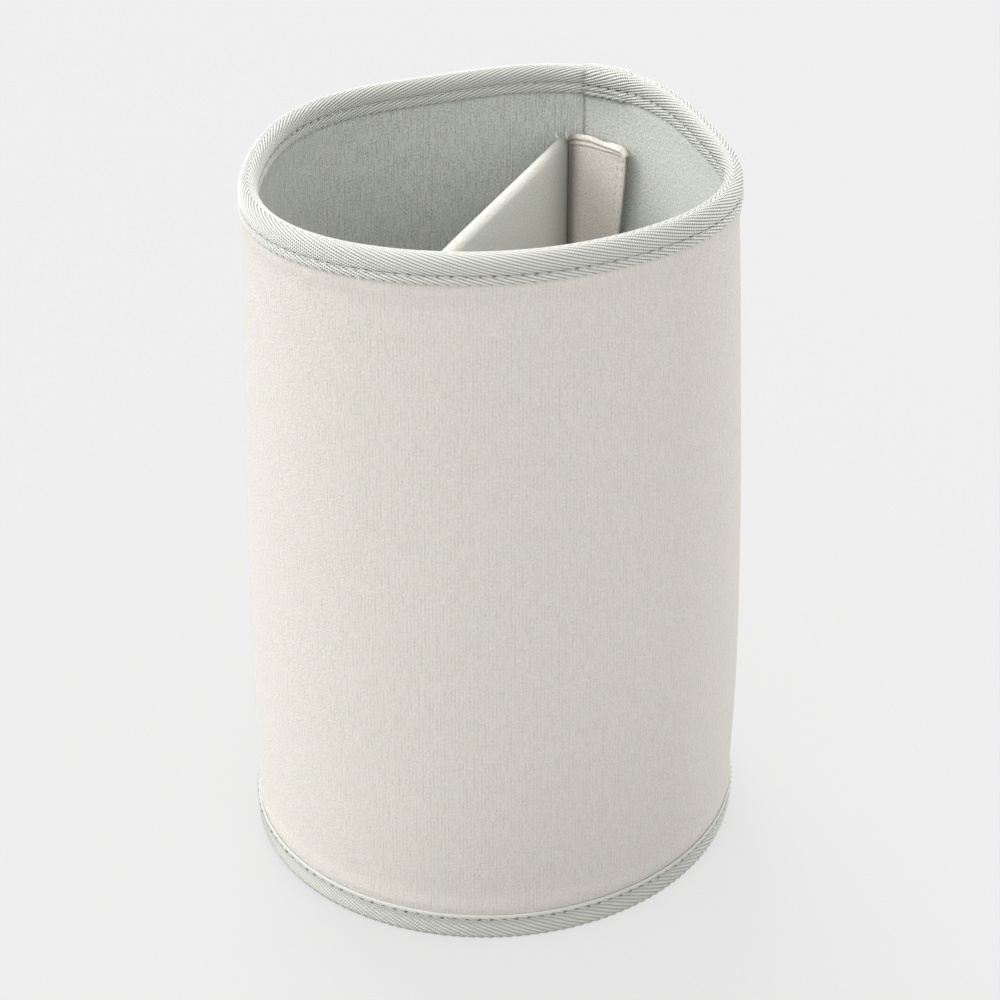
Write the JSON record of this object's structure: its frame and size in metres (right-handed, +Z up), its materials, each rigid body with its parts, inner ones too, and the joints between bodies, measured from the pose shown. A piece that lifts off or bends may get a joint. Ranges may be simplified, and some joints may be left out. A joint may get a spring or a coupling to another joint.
{
  "type": "divided fabric holder",
  "caption": "Upright open-topped soft fabric tube with taped rim and foot and a lift-out padded divider whose end flanges fold.",
  "frame": {"origin": "centre of the foot, on the surface that the holder stands on", "axes": "+Z up through the open mouth; -Y is the side that faces the viewer; +X is the viewer's right"},
  "size_m": [0.1605, 0.1612, 0.2315],
  "materials": {
    "cover_knit": "brushed knit, warm pale grey",
    "lining_knit": "fine ribbed knit, grey-green",
    "divider_knit": "brushed knit, pale grey-green",
    "twill_tape": "twill tape, pale sage grey",
    "sewing_thread": "spun polyester thread",
    "hook_tape": "woven hook tape",
    "padding": "thin foam padding",
    "stiffener": "plain polypropylene sheet"
  },
  "bodies": {
    "holder": {"outer_cover": "cover_knit", "wall_foam": "padding", "wall_board": "stiffener", "wall_lining": "lining_knit", "side_seam_thread": "sewing_thread", "rim_binding": "twill_tape", "rim_stitches": "sewing_thread", "foot_binding": "twill_tape", "foot_stitches": "sewing_thread", "base_cover": "cover_knit", "base_board": "stiffener", "base_foam": "padding", "base_lining": "lining_knit"},
    "divider": {"divider_cover": "divider_knit", "divider_foam": "padding", "divider_board": "stiffener", "divider_stitches": "sewing_thread"},
    "back_leaf": {"back_flange": "cover_knit", "back_hook_strip": "hook_tape", "back_flange_stitches": "sewing_thread"},
    "front_leaf": {"front_flange": "cover_knit", "front_hook_strip": "hook_tape", "front_flange_stitches": "sewing_thread"}
  },
  "joints": [
    {"name": "divider_lift", "type": "slide", "parent": "holder", "child": "divider", "axis": [0, 0, 1], "range_m": [0, 0.235]},
    {"name": "back_flange_fold", "type": "hinge", "parent": "divider", "child": "back_leaf", "pos_m": [0.02542, 0.06946, 0], "axis": [0, 0, -1], "range_deg": [0, 70]},
    {"name": "front_flange_fold", "type": "hinge", "parent": "divider", "child": "front_leaf", "pos_m": [-0.02959, -0.06336, 0], "axis": [0, 0, 1], "range_deg": [0, 70]}
  ]
}
